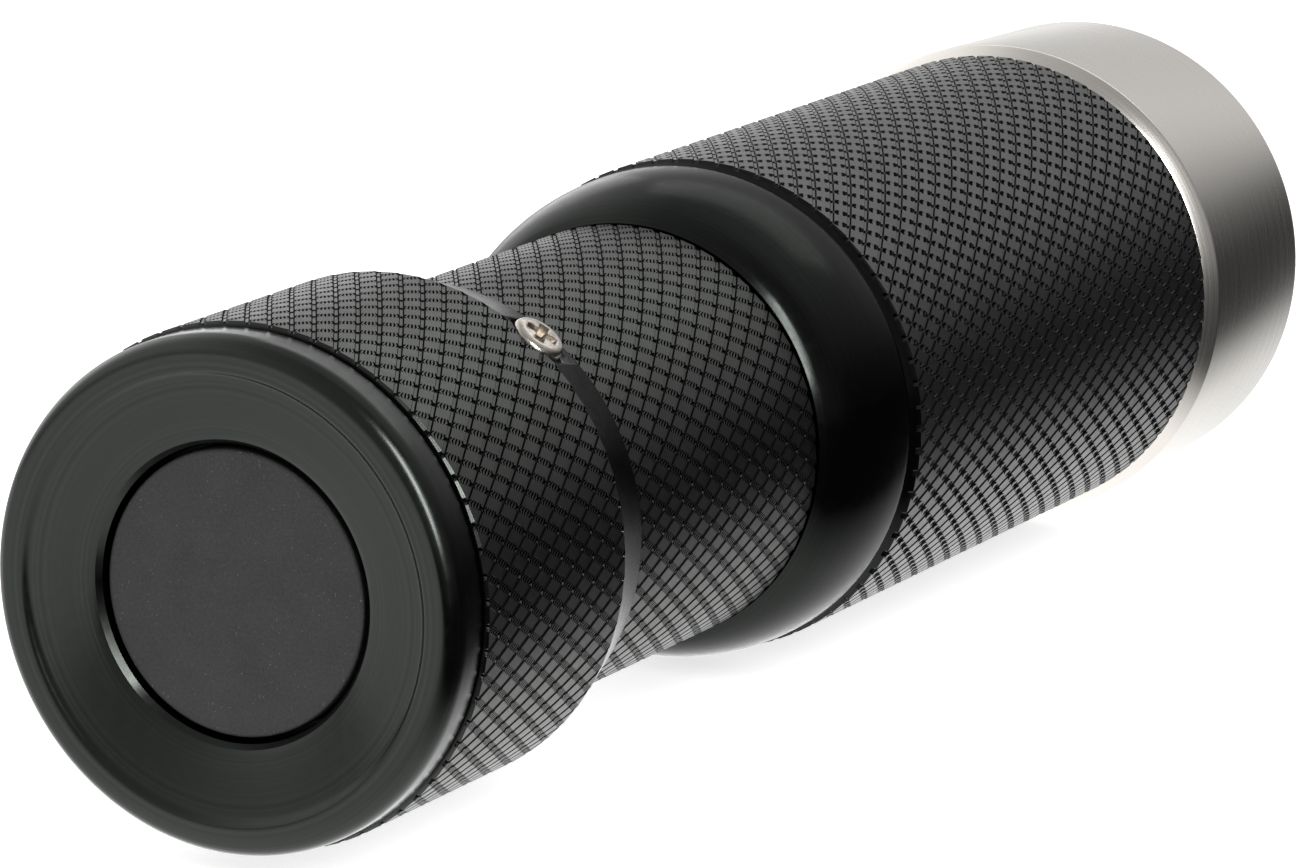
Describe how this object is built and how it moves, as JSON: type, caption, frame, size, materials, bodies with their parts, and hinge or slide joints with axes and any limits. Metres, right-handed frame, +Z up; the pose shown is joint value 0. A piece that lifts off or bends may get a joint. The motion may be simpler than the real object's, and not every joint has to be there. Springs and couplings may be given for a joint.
{
  "type": "flashlight",
  "caption": "Pocket flashlight with a knurled aluminium tube, screwed tail cap with push button, flared knurled head and screwed steel bezel.",
  "frame": {"origin": "on the surface under the middle of the flashlight, which lies on its side with its axis level", "axes": "+Y along the axis from the tail button to the lens, +Z up, and the cap's small screw up and towards +X"},
  "size_m": [0.0316, 0.1186, 0.0316],
  "materials": {
    "black_anodised": "satin black anodised, knurled on the grips",
    "satin_steel": "satin",
    "nickel_plate": "bright nickel plate",
    "black_rubber": "matte",
    "seal_rubber": "satin, greased",
    "black_plastic": "moulded",
    "white_plastic": "moulded",
    "green_board": "solder mask",
    "brass": "turned",
    "bare_aluminium": "turned",
    "reflector_plate": "mirror-bright plating",
    "lens_glass": "polished, coated",
    "cell_sleeve": "plain printed sleeve without words",
    "emitter": "ceramic package with a clear dome",
    "ferrite": "sintered",
    "red_wire": "silicone insulation",
    "black_wire": "silicone insulation"
  },
  "bodies": {
    "barrel": {"battery_tube": "black_anodised", "tail_oring": "seal_rubber", "head_oring": "seal_rubber", "head_housing": "black_anodised", "bezel_oring": "seal_rubber", "driver_pill": "bare_aluminium", "driver_board": "green_board", "driver_inductor": "ferrite", "driver_spring": "nickel_plate", "led_wire_red": "red_wire", "led_wire_black": "black_wire", "led_board": "bare_aluminium", "led_emitter": "emitter", "reflector_isolator": "white_plastic", "reflector": "reflector_plate"},
    "carrier": {"cell_carrier": "black_plastic", "carrier_tail_contact": "brass", "carrier_head_contact": "brass", "cell_1": "cell_sleeve", "cell_2": "cell_sleeve", "cell_3": "cell_sleeve", "cell_spring_1": "satin_steel", "cell_spring_2": "satin_steel", "cell_spring_3": "satin_steel"},
    "tail_cap": {"tail_cap": "black_anodised", "cap_screw": "nickel_plate", "button_seal": "seal_rubber", "switch_spring": "satin_steel", "switch_housing": "black_plastic", "switch_holder": "black_plastic", "switch_board": "green_board", "switch_retainer": "brass", "tail_contact_spring": "nickel_plate"},
    "button": {"tail_button": "black_rubber", "switch_plunger": "white_plastic"},
    "lens": {"front_lens": "lens_glass", "lens_gasket": "seal_rubber"},
    "bezel": {"bezel_ring": "satin_steel"}
  },
  "joints": [
    {"name": "tail_cap_travel", "type": "slide", "parent": "barrel", "child": "carrier", "axis": [0, -1, 0], "range_m": [0, 0.005], "deforming": ["driver_spring"]},
    {"name": "tail_cap_turn", "type": "hinge", "parent": "carrier", "child": "tail_cap", "pos_m": [0, -0.0471, 0.01582], "axis": [0, -1, 0], "range_deg": [0, 1440]},
    {"name": "button_press", "type": "slide", "parent": "tail_cap", "child": "button", "axis": [0, 1, 0], "range_m": [0, 0.0015], "stiffness_N_per_m": 1500, "springref_m": -0.001, "deforming": ["switch_spring"]},
    {"name": "bezel_travel", "type": "slide", "parent": "barrel", "child": "lens", "axis": [0, 1, 0], "range_m": [0, 0.005]},
    {"name": "bezel_turn", "type": "hinge", "parent": "lens", "child": "bezel", "pos_m": [0, 0.0513, 0.01582], "axis": [0, 1, 0], "range_deg": [0, 1440]}
  ],
  "couplings": [
    {"joint": "tail_cap_turn", "follows": "tail_cap_travel", "rad_per_m": 5026.5},
    {"joint": "bezel_turn", "follows": "bezel_travel", "rad_per_m": 5026.5}
  ]
}
